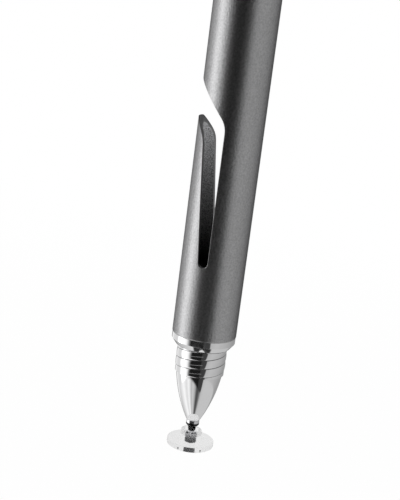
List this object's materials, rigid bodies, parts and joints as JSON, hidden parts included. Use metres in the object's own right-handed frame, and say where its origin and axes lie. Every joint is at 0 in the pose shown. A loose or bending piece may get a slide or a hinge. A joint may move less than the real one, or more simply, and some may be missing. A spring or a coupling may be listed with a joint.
{
  "type": "stylus pen",
  "caption": "Slim round metal stylus pen: tube barrel with a clip tongue cut from its own wall, conical nib with a short coarse thread and a clear contact disc that tilts on a ball joint.",
  "frame": {"origin": "on the pen's axis at the barrel's front end, where the nib's flange seats", "axes": "+Z along the pen's axis towards its rear end, tip pointing down; the clip tongue faces -X"},
  "size_m": [0.009, 0.009, 0.1238],
  "materials": {
    "barrel": "bead-blasted, dark grey anodised",
    "bright_metal": "polished, plated",
    "bush": "turned",
    "stud": "polished",
    "steel": "spring steel, plain",
    "socket": "turned, matt",
    "clear_disc": "clear, polished",
    "film": "clear conductive film"
  },
  "bodies": {
    "pen": {"barrel": "barrel", "nib": "bright_metal", "front_bush": "bush", "end_plug": "bright_metal"},
    "stud": {"ball_stud": "stud", "retaining_ring": "steel"},
    "tip": {"socket_insert": "socket", "tip_disc": "clear_disc", "contact_film": "film"}
  },
  "joints": [
    {"name": "tip_swivel", "type": "hinge", "parent": "pen", "child": "stud", "pos_m": [0, 0, -0.0152], "axis": [0, 0, 1], "continuous": true},
    {"name": "tip_tilt", "type": "hinge", "parent": "stud", "child": "tip", "pos_m": [0, 0, -0.0152], "axis": [1, 0, 0], "range_deg": [-22, 22]}
  ]
}
